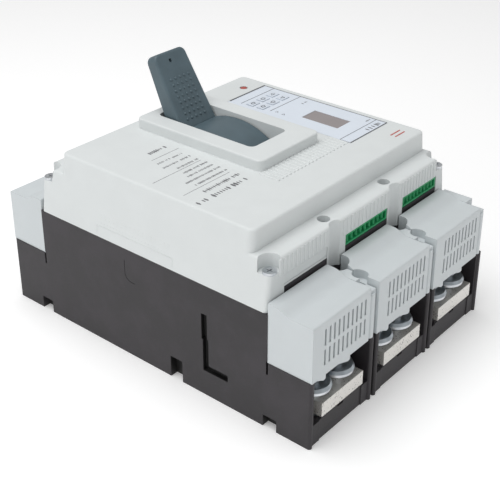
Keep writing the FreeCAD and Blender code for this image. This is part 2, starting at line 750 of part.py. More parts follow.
def make_current_path():
    for end_name, end in ENDS.items():
        inner = "-line_bar_inner" if end < 0 else "load_bar_inner"
        for side, pole in POLES.items():
            node = f"{end_name}_bar_{side}"
            centre = pole_centre(pole)
            bar = box(f"{node}_strip", about(centre, "-bar_width/2", "bar_width/2"),
                      span(end, inner, "bar_end"), ("bar_low", BAR_TOP))
            if end < 0:
                pad = box(f"{node}_pad", about(centre, "-8", "8"),
                          ("shaft_y - arm_reach - 2", "line_bar_inner"),
                          (f"{BAR_TOP} - 1", "shaft_z - arm_drop - contact_gap"))
                bar = joined(f"{node}_padded", [bar, pad])
            holes = [rod(f"{node}_hole_{spot}", "Z", (f"{centre} + bolt_{spot}", f"({end})*bolt_reach"),
                         "bolt_radius + bolt_clear", ("bar_low - 1", f"{BAR_TOP} + 1"))
                     for spot in ("left", "right")]
            keep(node, cut(node, bar, holes))


def make_fasteners():
    bolts, cones, flats, nuts = [], [], [], []
    flat_low = f"{BAR_TOP} + washer_lift"
    cone_low = f"{flat_low} + washer_thick"
    cone_high = f"{cone_low} + cone_thick"
    head_low = f"{cone_high} + bolt_neck"
    for end_name, end in ENDS.items():
        for side, pole in POLES.items():
            for spot in ("left", "right"):
                tag = f"{end_name}_{side}_{spot}"
                centre = (f"{pole_centre(pole)} + bolt_{spot}", f"({end})*bolt_reach")
                head = hexagon(f"head_{tag}", centre, "bolt_head", (head_low, f"{head_low} + bolt_head_tall"))
                shank = rod(f"shank_{tag}", "Z", centre, "bolt_radius",
                            ("bar_low - nut_tall", f"{head_low} + 1"))
                bolts.append(joined(f"bolt_{tag}", [head, shank]))
                flats.append(ring(f"flat_{tag}", centre, "washer_radius", "bolt_radius + 0.2",
                                  (flat_low, cone_low)))
                cones.append(dished(f"cone_{tag}", centre, (cone_low, cone_high)))
                nut = hexagon(f"nut_body_{tag}", centre, "bolt_head",
                              ("bar_low - 0.2 - nut_tall", "bar_low - 0.2"))
                bore = rod(f"nut_bore_{tag}", "Z", centre, "bolt_radius + run_gap",
                           ("bar_low - 1 - nut_tall", "bar_low + 1"))
                nuts.append(cut(f"nut_{tag}", nut, [bore]))
    keep("terminal_bolts", group("terminal_bolts", bolts))
    keep("conical_washers", group("conical_washers", cones))
    keep("flat_washers", group("flat_washers", flats))
    keep("captive_nuts", group("captive_nuts", nuts))


def hexagon(name, centre, across, ends):
    x, y = centre
    outline = []
    for corner in range(6):
        angle = math.radians(60 * corner)
        outline.append((f"{x} + ({across})*{0.57735 * math.cos(angle):.5f}",
                        f"{y} + ({across})*{0.57735 * math.sin(angle):.5f}"))
    return prism(name, "XY", outline, ends)


def ring(name, centre, outer, inner, ends):
    disc = rod(f"{name}_disc", "Z", centre, outer, ends)
    hole = rod(f"{name}_hole", "Z", centre, inner, (f"{ends[0]} - 1", f"{ends[1]} + 1"))
    return cut(name, disc, [hole])


def dished(name, centre, ends):
    """A conical spring washer."""
    cone = doc.addObject("Part::Cone", f"{name}_cone")
    bind(cone, "Radius1", "cone_radius")
    bind(cone, "Radius2", "cone_radius - 1.2")
    bind(cone, "Height", f"({ends[1]}) - ({ends[0]})")
    place(cone, centre[0], centre[1], ends[0])
    hole = rod(f"{name}_hole", "Z", centre, "bolt_radius + 0.2", (f"{ends[0]} - 1", f"{ends[1]} + 1"))
    return cut(name, cone, [hole])


def make_cover_screws():
    screws = []
    for end_name, end in ENDS.items():
        for side, sign in (("left", -1), ("right", 1)):
            spots = {
                "corner": ((f"({sign})*screw_x", f"({end})*screw_reach"), "screw_seat", "screw_head"),
                "deep": ((f"({sign})*pole_pitch/2", f"({end})*deep_reach"), "deep_seat", "deep_hole - 0.5"),
            }
            for kind, (centre, seat, radius) in spots.items():
                tag = f"{kind}_{side}_{end_name}"
                head = rod(f"screw_head_{tag}", "Z", centre, radius, (seat, f"{seat} + screw_head_tall"))
                shank = rod(f"screw_shank_{tag}", "Z", centre, "screw_shank", ("base_height", f"{seat} + 1"))
                x, y = centre
                depth = (f"{seat} + screw_head_tall - drive_depth", f"{seat} + screw_head_tall + 1")
                long_way, short_way = ("-screw_drive", "screw_drive"), ("-drive_width/2", "drive_width/2")
                cross = [box(f"drive_a_{tag}", about(x, *long_way), about(y, *short_way), depth),
                         box(f"drive_b_{tag}", about(x, *short_way), about(y, *long_way), depth)]
                screws.append(cut(f"screw_{tag}", joined(f"screw_solid_{tag}", [head, shank]), cross))
    keep("cover_screws", group("cover_screws", screws))


def make_handle():
    """The swinging handle group, drawn upright about its hinge line and leaned over to the OFF position."""
    members = {}
    paddle = tapered("paddle", ("grip_foot/2", "grip_foot_thick/2", "shield_radius - 4"),
                     ("grip_tip/2", "grip_tip_thick/2", "grip_reach"))
    tip = worked("grip_reach")
    foot = worked("shield_radius")
    rounded(paddle, "grip_corner", lambda a, b: min(a.z, b.z) > tip - 0.01 and abs(a.y - b.y) > 1)
    rounded(paddle, "grip_round", lambda a, b: a.y * b.y > 0 and max(a.z, b.z) > foot)
    seat = rod("paddle_seat", "X", ("0", "0"), "shield_radius", ("-bezel_half", "bezel_half"))
    eye = box("paddle_eye", ("-3.5", "-1.3"), ("-grip_foot_thick/2", "2 - grip_tip_thick/2"),
              ("grip_reach - 8.4", "grip_reach - 5.9"))
    blade = cut("paddle_blade", paddle, [seat, eye])
    tang = box("paddle_tang", ("-tang_half", "tang_half"), ("-tang_thick/2", "tang_thick/2"),
               ("yoke_top", "shield_radius + 2"))
    members["handle_grip"] = joined("handle_grip", [blade, tang])

    tube = rod("shield_tube", "X", ("0", "0"), "shield_radius", ("-shield_half", "shield_half"))
    sector = prism("shield_sector", "YZ",
                   [("0", "0"), ("2*shield_radius*sin(shield_reach)", "2*shield_radius*cos(shield_reach)"),
                    ("2*shield_radius*sin(shield_reach)", "2*shield_radius"),
                    ("-2*shield_radius*sin(shield_reach)", "2*shield_radius"),
                    ("-2*shield_radius*sin(shield_reach)", "2*shield_radius*cos(shield_reach)")],
                   ("-bezel_half", "bezel_half"))
    arc = doc.addObject("Part::Common", "shield_arc")
    arc.Base = tube
    arc.Tool = sector
    bore = rod("shield_bore", "X", ("0", "0"), "shield_radius - shield_thick", ("-bezel_half", "bezel_half"))
    slot = box("shield_slot", ("-tang_half - 0.1", "tang_half + 0.1"),
               ("-tang_thick/2 - 0.1", "tang_thick/2 + 0.1"), ("yoke_top", "shield_radius + 2"))
    members["handle_shield"] = cut("handle_shield", arc, [bore, slot])

    frame = box("yoke_block", ("-yoke_out", "yoke_out"), ("-yoke_width/2", "yoke_width/2"),
                ("-8", "yoke_top"))
    inside = box("yoke_inside", ("-(yoke_out - plate_thick)", "yoke_out - plate_thick"),
                 ("-yoke_width", "yoke_width"), ("-9", "yoke_top - plate_thick"))
    eyelet = rod("yoke_eyelet", "X", ("0", "0"), "hinge_pin + run_gap", ("-bezel_half", "bezel_half"))
    members["handle_yoke"] = cut("handle_yoke", frame, [inside, eyelet])

    springs = [rod(f"spring_{side}", "Z", (f"({sign})*spring_x", "0"), "spring_radius",
                   ("spring_foot", "yoke_top - plate_thick"))
               for side, sign in (("left", -1), ("right", 1))]
    members["main_springs"] = group("main_springs", springs)
    for node, item in members.items():
        turned(item, "handle_lean")
        keep(node, place(item, "0", "pivot_y", "pivot_z"))
    keep("handle_pivot_pin", rod("handle_pivot_pin", "X", ("pivot_y", "pivot_z"), "hinge_pin",
                                 ("-(plate_in + plate_thick + 1)", "plate_in + plate_thick + 1")))


def make_mechanism_plates():
    """Two side plates standing on the pole partitions by their outward flanges."""
    outline = [("-12", "66"), ("-12", "108"), ("-8", "112"), ("66", "112"), ("72", "106"), ("72", "66"),
               ("66", "60"), ("16", "60"), ("12", "66")]
    for side, sign in (("left", -1), ("right", 1)):
        def across(low, high):
            return (low, high) if sign > 0 else (f"-({high})", f"-({low})")
        plate = prism(f"plate_{side}", "YZ", outline, across("plate_in", "plate_in + plate_thick"))
        flange = box(f"flange_{side}", across("plate_in", "pole_pitch/2 + 1"), ("16", "60"),
                     ("base_height", "base_height + plate_thick"))
        holes = [rod(f"plate_hole_{side}_{name}", "X", (y, z), radius, across("plate_in - 1", "plate_in + 4"))
                 for name, y, z, radius in (("hinge", "pivot_y", "pivot_z", "hinge_pin"),
                                            ("shaft", "shaft_end_y", "shaft_end_z", "hinge_pin"),
                                            ("latch", "latch_y", "latch_z", "latch_pin"))]
        node = f"mechanism_plate_{side}"
        keep(node, cut(node, joined(f"{node}_solid", [plate, flange]), holes))


def make_cradle():
    lever = prism("cradle_lever", "YZ",
                  [("shaft_end_y - 5", "92"), ("shaft_end_y - 5", "100"), ("latch_y + 1", "100"),
                   ("latch_y + 4", "97"), ("latch_y + 4", "93.5"), ("latch_y - 5", "92"),
                   ("cradle_y + 5", "cradle_z - 0.4"), ("cradle_y", "cradle_z - 3"),
                   ("cradle_y - 5", "cradle_z - 0.4")], ("-lug_half", "lug_half"))
    hub = rod("cradle_hub", "X", ("cradle_y", "cradle_z"), "link_pin + 2", ("-lug_half", "lug_half"))
    bore = rod("cradle_bore", "X", ("cradle_y", "cradle_z"), "link_pin + run_gap", ("-5", "5"))
    lever = cut("cradle_bored", joined("cradle_solid", [lever, hub]), [bore])
    outer = "plate_in + plate_thick"
    stub = rod("cradle_shaft", "X", ("shaft_end_y", "shaft_end_z"), "hinge_pin", (f"-({outer})", outer))
    latch = rod("cradle_latch", "X", ("latch_y", "latch_z"), "latch_pin", (f"-({outer})", f"{outer} + 6"))
    keep("cradle", joined("cradle", [lever, stub, latch]))


def straps(name, inner, length):
    """Two link plates either side of the centre line, from the origin along +Y."""
    sides = []
    for side, sign in (("left", -1), ("right", 1)):
        low, high = inner, f"{inner} + link_thick"
        across = (low, high) if sign > 0 else (f"-({high})", f"-({low})")
        sides.append(box(f"{name}_strap_{side}", across, ("0", length), ("-link_half", "link_half")))
        sides += [rod(f"{name}_end_{side}_{number}", "X", (y, "0"), "link_half", across)
                  for number, y in enumerate(("0", length))]
    return sides


def make_toggle():
    knee_y = "cradle_y + upper_length*cos(upper_tilt)"
    knee_z = "cradle_z - upper_length*sin(upper_tilt)"
    upper_out = "upper_in + link_thick"
    lower_out = "lower_in + link_thick"
    pressed = rod("upper_press_hole", "X", ("upper_length", "0"), "link_pin", ("-20", "20"))
    upper_pin = rod("upper_pin", "X", ("0", "0"), "link_pin", (f"-({upper_out})", upper_out))
    upper_solid = joined("upper_solid", straps("upper", "upper_in", "upper_length") + [upper_pin])
    upper = cut("upper_toggle_links", upper_solid, [pressed])
    keep("upper_toggle_links", place(turned(upper, "upper_tilt"), "0", "cradle_y", "cradle_z"))
    keep("knee_pin", rod("knee_pin", "X", (knee_y, knee_z), "link_pin", (f"-({upper_out})", upper_out)))
    running = rod("lower_run_hole", "X", ("0", "0"), "link_pin + run_gap", ("-20", "20"))
    lower_pin = rod("lower_pin", "X", ("lower_length", "0"), "link_pin", (f"-({lower_out})", lower_out))
    lower_solid = joined("lower_solid", straps("lower", "lower_in", "lower_length") + [lower_pin])
    lower = cut("lower_toggle_links", lower_solid, [running])
    keep("lower_toggle_links", place(turned(lower, "lower_tilt"), "0", knee_y, knee_z))


def make_contacts():
    """The contact shaft with one arm a pole, drawn closed about the shaft's axis and lifted to open."""
    keep("contact_shaft", rod("contact_shaft", "X", ("shaft_y", "shaft_z"), "shaft_radius",
                              ("-shaft_half", "shaft_half")))
    for side, pole in POLES.items():
        name = f"contact_arm_{side}"
        lever = prism(f"{name}_lever", "YZ",
                      [("4", "8"), ("-8", "10.5"), ("-30", "0"), ("-arm_reach + 2", "-arm_drop + 10.5"),
                       ("-arm_reach", "-arm_drop + 8"), ("-arm_reach", "-arm_drop + 1"),
                       ("-arm_reach + 1", "-arm_drop"), ("-arm_reach + 13", "-arm_drop"),
                       ("-arm_reach + 14", "-arm_drop + 3"), ("-10", "-9.5"), ("0", "-10.5"), ("4", "-8")],
                      ("-arm_width/2", "arm_width/2"))
        hub = rod(f"{name}_hub", "X", ("0", "0"), "hub_radius", ("-arm_width/2", "arm_width/2"))
        bore = rod(f"{name}_bore", "X", ("0", "0"), "shaft_radius", ("-20", "20"))
        arm = cut(f"{name}_bored", joined(f"{name}_solid", [lever, hub]), [bore])
        if pole == 0:
            tongue = box("lug_tongue", ("-lug_half", "lug_half"), ("shaft_radius + 0.2", "lug_reach"),
                         ("-lug_boss", "lug_boss"))
            boss = rod("lug_round", "X", ("lug_reach", "0"), "lug_boss", ("-lug_half", "lug_half"))
            eye = rod("lug_eye", "X", ("lug_reach", "0"), "link_pin + lug_gap", ("-5", "5"))
            lug = turned(cut("drive_lug", joined("lug_solid", [tongue, boss]), [eye]), "lug_turn", 1)
            arm = joined(f"{name}_driven", [arm, lug])
        keep(name, place(turned(group(name, [arm]), "open_angle"), pole_centre(pole), "shaft_y", "shaft_z"))


def make_braids():
    outline = [("54", BAR_TOP), ("54", f"{BAR_TOP} + 3"), ("38.5", f"{BAR_TOP} + 3"), ("31.5", "35.2"),
               ("26.5", "41.8"), ("20.5", "45"), ("14.5", "45"), ("14.5", "42"), ("19.5", "42"), ("24", "39.2"),
               ("29.3", "32.2"), ("37", BAR_TOP)]
    for side, pole in POLES.items():
        name = f"braid_{side}"
        keep(name, prism(name, "YZ", outline, about(pole_centre(pole), "-7", "7")))


def make_arc_chutes():
    for side, pole in POLES.items():
        name = f"arc_chute_{side}"
        centre = pole_centre(pole)
        members = []
        for wall, sign in (("left", -1), ("right", 1)):
            low, high = "chute_half - chute_wall", "chute_half"
            across = (low, high) if sign > 0 else (f"-({high})", f"-({low})")
            members.append(box(f"{name}_{wall}", about(centre, *across), ("chute_far", "chute_near"),
                               ("floor_thick", "chute_high")))
        for number in range(7):
            z = f"chute_low + {number}*splitter_pitch"
            members.append(box(f"{name}_splitter_{number}", about(centre, "-chute_half + 1", "chute_half - 1"),
                               ("chute_far + 2", "chute_near - 4"), (z, f"{z} + splitter_thick")))
        throat = prism(f"{name}_throat", "XY",
                       [(f"{centre} - 8", "chute_near + 1"), (f"{centre} - 5", "chute_near - 16"),
                        (f"{centre} + 5", "chute_near - 16"), (f"{centre} + 8", "chute_near + 1")],
                       ("chute_low - 1", "chute_high + 1"))
        keep(name, cut(name, joined(f"{name}_stack", members), [throat]))


def make_current_sensors():
    for side, pole in POLES.items():
        name = f"current_sensor_{side}"
        centre = pole_centre(pole)
        core = box(f"{name}_core", about(centre, "-sensor_half", "sensor_half"), ("sensor_near", "sensor_far"),
                   ("floor_thick", "sensor_high"))
        window = box(f"{name}_window", about(centre, "-bar_width/2 - 0.5", "bar_width/2 + 0.5"),
                     ("sensor_near - 1", "sensor_far + 1"), ("bar_low - 0.5", f"{BAR_TOP} + 0.5"))
        keep(name, cut(name, core, [window]))


KEYS = [(column, row) for row in (1, 0) for column in (0, 1, 2)]


def key_centre(column, row):
    return f"key_column + {column}*key_pitch_x", f"key_row + {row}*key_pitch_y"


def key_block(name, column, row, margin, ends):
    x, y = key_centre(column, row)
    return box(name, (f"{x} - key_length/2 - {margin}", f"{x} + key_length/2 + {margin}"),
               (f"{y} - key_depth/2 - {margin}", f"{y} + key_depth/2 + {margin}"), ends)


def make_trip_unit():
    face_low = "cover_top - face_thick"
    screen = (("screen_left", "screen_right"), ("screen_front", "screen_back"))
    plate = box("face_block", ("face_left", "face_far"), ("face_front", "face_back"), (face_low, "cover_top"))
    tools = [box("screen_hole", *screen, (f"{face_low} - 1", "cover_top + 1"))]
    tools += [key_block(f"key_hole_{n}", column, row, "key_gap", (f"{face_low} - 1", "cover_top + 1"))
              for n, (column, row) in enumerate(KEYS)]
    keep("trip_faceplate", cut("trip_faceplate", plate, tools))
    keep("display_window", box("display_window", *screen, (f"{face_low} - 0.6", "cover_top - 0.3")))
    flange_top = f"{face_low} - key_gap"
    switches = []
    for number, (column, row) in enumerate(KEYS):
        cap = key_block(f"key_cap_{number}", column, row, "0",
                        (f"{flange_top} - 0.2", "cover_top + key_proud"))
        flange = key_block(f"key_flange_{number}", column, row, "0.8",
                           (f"{flange_top} - key_flange", flange_top))
        stem = rod(f"key_stem_{number}", "Z", key_centre(column, row), "1.5",
                   ("switch_top + 0.8", f"{flange_top} - 0.2"))
        keep(f"trip_key_{number + 1}", joined(f"trip_key_{number + 1}", [cap, flange, stem]))
        switches.append(key_block(f"switch_{number}", column, row, "-0.6",
                                  ("board_low + board_thick - 0.5", "switch_top")))
    board = box("board_sheet", ("unit_left + unit_wall + 1", "unit_right - unit_wall - 1"),
                ("face_front + 3", "face_back - 3"), ("board_low", "board_low + board_thick"))
    screen_body = box("screen_body", ("screen_left", "screen_right"), ("screen_front", "screen_back"),
                      ("board_low + board_thick - 0.5", f"{face_low} - 1"))
    keep("trip_circuit_board", joined("trip_circuit_board", [board, screen_body] + switches))

    under = "cover_top - cover_wall"
    case = box("unit_block", ("unit_left", "unit_right"), ("face_front - 2", "face_back + 2"),
               ("unit_low", under))
    inside = box("unit_inside", ("unit_left + unit_wall", "unit_right - unit_wall"),
                 ("face_front - 2 + unit_wall", "face_back + 2 - unit_wall"),
                 ("unit_low + unit_wall", f"{under} + 1"))
    posts = [box(f"unit_post_{n}", (x, f"{x} + 4"), (y, f"{y} + 4"), ("unit_low + 1", "board_low"))
             for n, (x, y) in enumerate((x, y) for x in ("unit_left + 5", "unit_right - 9")
                                        for y in ("face_front + 6", "face_back - 10"))]
    ears = [box(f"unit_ear_{n}", (x, f"{x} + 3"), ("face_back", "trip_y + 5"), ("trip_z - 5", "trip_z + 7"))
            for n, x in enumerate(("unit_left + 1.5", "unit_right - 5.5"))]
    bearing = rod("unit_bearing", "X", ("trip_y", "trip_z"), "trip_radius + run_gap",
                  ("unit_left - 1", "unit_right + 1"))
    hollow = cut("unit_hollow", case, [inside])
    standing = joined("unit_solid", [hollow] + posts + ears)
    keep("trip_unit_housing", cut("trip_unit_housing", standing, [bearing]))

    bar = rod("trip_rod", "X", ("0", "0"), "trip_radius", ("plate_in + plate_thick + 1.5", "unit_right - 1"))
    tabs = [box(f"trip_tab_{n}", (f"{x} - 3", f"{x} + 3"), ("-tab_reach", "0"), ("0", "tab_top"))
            for n, x in enumerate(("button_x", "button_x - 17"))]
    catch = box("trip_catch", ("plate_in + plate_thick + 1.5", "plate_in + plate_thick + 5"),
                ("latch_y + latch_pin + 0.5 - trip_y", "0"), ("-2.5", "1.5"))
    keep("trip_bar", place(joined("trip_bar", [bar, catch] + tabs), "0", "trip_y", "trip_z"))

    tab_face = "trip_z + tab_top + 0.3"
    spot = ("button_x", "button_y")
    keep("trip_button", joined("trip_button", [
        rod("button_cap", "Z", spot, "button_radius", ("cover_top - 6", "cover_top - 0.2")),
        rod("button_collar", "Z", spot, "button_radius + 1.6", ("cover_top - 7", "cover_top - 5.5")),
        rod("button_stem", "Z", spot, "1.5", (tab_face, "cover_top - 6")),
    ]))
    solenoid = ("button_x - 17", "button_y - 1")
    x, y = solenoid
    keep("trip_actuator", joined("trip_actuator", [
        box("solenoid_block", (f"{x} - 6", f"{x} + 6"), ("face_back + 2", f"{y} + 7"),
            ("unit_low + 5", "unit_low + 22")),
        rod("solenoid_plunger", "Z", solenoid, "1.4", (tab_face, "unit_low + 6")),
    ]))


make_base()
make_front_cover()
make_headers()
make_terminal_covers()
make_current_path()
make_fasteners()
make_cover_screws()
make_handle()
make_mechanism_plates()
make_cradle()
make_toggle()
make_contacts()
make_braids()
make_arc_chutes()
make_current_sensors()
make_trip_unit()
doc.recompute()

os.makedirs("parts", exist_ok=True)
bad = [item.Name for item in doc.Objects if "Invalid" in item.State or "Error" in item.State]
for node, item in pieces.items():
    shape = item.Shape
    if shape.isNull() or not shape.isValid():
        bad.append(node)
if bad:
    raise RuntimeError("not built: " + ", ".join(sorted(set(bad))))
for node, item in pieces.items():
    item.Shape.exportStep(f"parts/{node}.step")
    print(node, len(item.Shape.Solids), round(item.Shape.Volume / 1000, 2), "cm3")
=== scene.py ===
import json
import math

import bmesh
import bpy
from mathutils import Matrix, Vector


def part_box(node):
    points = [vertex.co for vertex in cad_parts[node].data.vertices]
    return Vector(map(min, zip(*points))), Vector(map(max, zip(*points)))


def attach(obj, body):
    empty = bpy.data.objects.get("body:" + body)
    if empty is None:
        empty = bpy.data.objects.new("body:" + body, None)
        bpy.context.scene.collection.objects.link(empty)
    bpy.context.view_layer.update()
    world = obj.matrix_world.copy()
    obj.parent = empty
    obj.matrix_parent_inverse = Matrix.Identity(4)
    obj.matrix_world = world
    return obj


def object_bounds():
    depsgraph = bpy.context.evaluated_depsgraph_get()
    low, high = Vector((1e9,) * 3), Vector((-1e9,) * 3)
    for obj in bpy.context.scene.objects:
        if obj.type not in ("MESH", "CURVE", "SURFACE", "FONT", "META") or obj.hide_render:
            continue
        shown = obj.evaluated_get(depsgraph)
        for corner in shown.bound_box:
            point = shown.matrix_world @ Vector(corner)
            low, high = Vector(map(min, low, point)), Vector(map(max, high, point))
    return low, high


MM = 0.001
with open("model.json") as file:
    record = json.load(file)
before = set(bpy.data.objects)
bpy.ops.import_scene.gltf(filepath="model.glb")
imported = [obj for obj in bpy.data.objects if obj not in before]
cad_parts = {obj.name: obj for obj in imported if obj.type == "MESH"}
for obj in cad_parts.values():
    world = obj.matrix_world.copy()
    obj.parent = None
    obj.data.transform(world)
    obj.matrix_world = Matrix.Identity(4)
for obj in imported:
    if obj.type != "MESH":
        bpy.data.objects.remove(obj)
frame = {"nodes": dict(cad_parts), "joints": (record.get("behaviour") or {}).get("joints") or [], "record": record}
nodes = frame["nodes"]
record = frame["record"]
cad_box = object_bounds()

CASE_LOW, CASE_HIGH = cad_box
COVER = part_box("front_cover")
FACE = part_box("trip_faceplate")
JOINTS = {joint["name"]: joint for joint in frame["joints"]}


# ---------------------------------------------------------------- camera, floor and light

CAMERA_PLACE = (-0.526, -0.445, 0.449)
CAMERA_YAW, CAMERA_PITCH = math.radians(50.03), math.radians(26.53)
CAMERA_LENS, CAMERA_RISE = 76, -0.14
SKY, FLOOR_GLOW, FLOOR_RADIUS = 0.46, 0.2, 6

# Soft round lamps: place, aimed-at point, diameter and power.
LAMPS = {
    "overhead": ((-0.25, 0.15, 1.3), (0, 0, 0.05), 1.1, 9),
    "left_side": ((-1.3, 0.1, 0.55), (0, 0, 0.08), 0.9, 2.2),
    "front_fill": ((0.2, -1.4, 0.5), (0, 0, 0.08), 0.9, 0.6),
}


def make_camera():
    yaw, pitch = CAMERA_YAW, CAMERA_PITCH
    forward = Vector((math.sin(yaw) * math.cos(pitch), math.cos(yaw) * math.cos(pitch), -math.sin(pitch)))
    right = Vector((math.cos(yaw), -math.sin(yaw), 0))
    up = right.cross(forward)
    turn = Matrix((right, up, -forward)).transposed()
    data = bpy.data.cameras.new("camera")
    data.lens = CAMERA_LENS
    data.sensor_width = 36
    data.shift_y = CAMERA_RISE
    data.clip_start = 0.01
    camera = bpy.data.objects.new("camera", data)
    camera.matrix_world = Matrix.Translation(CAMERA_PLACE) @ turn.to_4x4()
    bpy.context.scene.collection.objects.link(camera)
    bpy.context.scene.camera = camera


def soft_light(name, place, target, size, power):
    data = bpy.data.lights.new(name, "AREA")
    data.shape = "DISK"
    data.size = size
    data.energy = power
    lamp = bpy.data.objects.new(name, data)
    aim = (Vector(target) - Vector(place)).to_track_quat("-Z", "Y")
    lamp.matrix_world = Matrix.Translation(place) @ aim.to_matrix().to_4x4()
    bpy.context.scene.collection.objects.link(lamp)


def make_surroundings():
    world = bpy.data.worlds.new("studio")
    world.use_nodes = True
    world.node_tree.nodes["Background"].inputs["Color"].default_value = (1, 1, 1, 1)
    world.node_tree.nodes["Background"].inputs["Strength"].default_value = SKY
    bpy.context.scene.world = world
    bpy.context.scene.view_settings.view_transform = "Standard"
    for name, values in LAMPS.items():
        soft_light(name, *values)
    mesh = bpy.data.meshes.new("floor")
    shape = bmesh.new()
    bmesh.ops.create_circle(shape, cap_ends=True, segments=96, radius=FLOOR_RADIUS)
    shape.to_mesh(mesh)
    shape.free()
    floor = bpy.data.objects.new("floor", mesh)
    bpy.context.scene.collection.objects.link(floor)
    paint = Finish("studio_floor", (0.97, 0.97, 0.97), 0.8, Emission_Color=(1, 1, 1),
                   Emission_Strength=FLOOR_GLOW)
    mesh.materials.append(paint.material)


# ---------------------------------------------------------------- finishes

# The last colour here is near-black painted shade for the insides of the side grooves.
CHARCOAL, CHARCOAL_FLECK, PAINTED_GROOVE_SHADE = (0.024, 0.021, 0.0245), (0.075, 0.07, 0.075), (0.004, 0.004, 0.004)
TIN, TIN_SPECK = (0.8, 0.78, 0.74), (0.12, 0.11, 0.1)

# Where the side grooves lie, which get painted shade: from the middle plane, along the case, and up to this
# height.
GROOVE_OUTER, GROOVE_INNER = (0.1044, 0.1047), (0.0985, 0.0988)
GROOVE_END, GROOVE_TOP = (0.112, 0.114), (0.066, 0.07)

# The heights between which only the big dished washers lie.
WASHER_FOOT, WASHER_CROWN = (0.03645, 0.0366), (0.0388, 0.0390)


class Term:
    """A shader value that Python arithmetic can be written on."""

    def __init__(self, finish, socket):
        self.finish = finish
        self.socket = socket

    def _math(self, operation, first, second=None):
        values = {0: first} if second is None else {0: first, 1: second}
        return self.finish.node("ShaderNodeMath", {"operation": operation}, values)

    def __add__(self, other):
        return self._math("ADD", self, other)

    __radd__ = __add__

    def __sub__(self, other):
        return self._math("SUBTRACT", self, other)

    def __rsub__(self, other):
        return self._math("SUBTRACT", other, self)

    def __mul__(self, other):
        return self._math("MULTIPLY", self, other)

    __rmul__ = __mul__

    def __abs__(self):
        return self._math("ABSOLUTE", self)

    def rise(self, low, high):
        """0 below low, 1 above high, and a smooth rise between them."""
        return self.finish.node("ShaderNodeMapRange", {"interpolation_type": "SMOOTHSTEP"},
                                {"Value": self, "From Min": low, "From Max": high})

    def fall(self, low, high):
        return 1 - self.rise(low, high)


class Finish:
    """A Principled material whose varying inputs are built from terms."""

    def __init__(self, name, colour, roughness, metallic=0.0, **values):
        self.material = bpy.data.materials.new(name)
        self.material.use_nodes = True
        self.nodes = self.material.node_tree.nodes
        self.links = self.material.node_tree.links
        self.shader = self.nodes["Principled BSDF"]
        self.set("Base Color", colour)
        self.set("Roughness", roughness)
        self.set("Metallic", metallic)
        for socket, value in values.items():
            self.set(socket.replace("_", " "), value)

    def _fill(self, socket, value):
        if isinstance(value, Term):
            self.links.new(value.socket, socket)
        elif hasattr(value, "__len__") and len(value) == 3 and socket.type == "RGBA":
            socket.default_value = (*value, 1)
        else:
            socket.default_value = value

    def set(self, socket, value):
        self._fill(self.shader.inputs[socket], value)

    def node(self, kind, settings=None, inputs=None, output=0):
        made = self.nodes.new(kind)
        for key, value in (settings or {}).items():
            setattr(made, key, value)
        for key, value in (inputs or {}).items():
            self._fill(made.inputs[key], value)
        return Term(self, made.outputs[output])

    def spot(self):
        return self.node("ShaderNodeTexCoord", output="Object")

    def axes(self):
        made = self.nodes.new("ShaderNodeSeparateXYZ")
        self._fill(made.inputs[0], self.spot())
        return [Term(self, made.outputs[i]) for i in range(3)]

    def noise(self, grain, detail=2.0, rough=0.5):
        """Soft random shade from 0 to 1, with grains about the given size in metres."""
        inputs = {"Vector": self.spot(), "Scale": 1 / grain, "Detail": detail, "Roughness": rough}
        return self.node("ShaderNodeTexNoise", None, inputs)

    def mix(self, share, first, second):
        made = self.nodes.new("ShaderNodeMix")
        made.data_type = "RGBA"
        self._fill(made.inputs[0], share)
        self._fill(made.inputs[6], first)
        self._fill(made.inputs[7], second)
        return Term(self, made.outputs[2])

    def soft_edges(self, radius):
        return self.node("ShaderNodeBevel", {"samples": 6}, {"Radius": radius})

    def bump(self, height, depth, normal):
        inputs = {"Height": height, "Distance": depth, "Strength": 1.0, "Normal": normal}
        self.set("Normal", self.node("ShaderNodeBump", None, inputs))


def shade(colour, factor):
    return tuple(min(1, part * factor) for part in colour)


def moulding(name, colour, roughness, grain=0.0006, depth=0.00003, mottle=0.06, round_edge=0.0005):
    """Moulded plastic: spark-eroded grain, faint flow marks and slightly rounded edges."""
    finish = Finish(name, colour, roughness)
    flow = finish.noise(0.02, 4, 0.6)
    tones = shade(colour, 1 - mottle), shade(colour, 1 + mottle)
    finish.set("Base Color", finish.mix(flow.rise(0.3, 0.7), *tones))
    finish.set("Roughness", roughness + 0.12 * (flow - 0.5))
    finish.bump(finish.noise(grain, 3, 0.6), depth, finish.soft_edges(round_edge))
    return finish


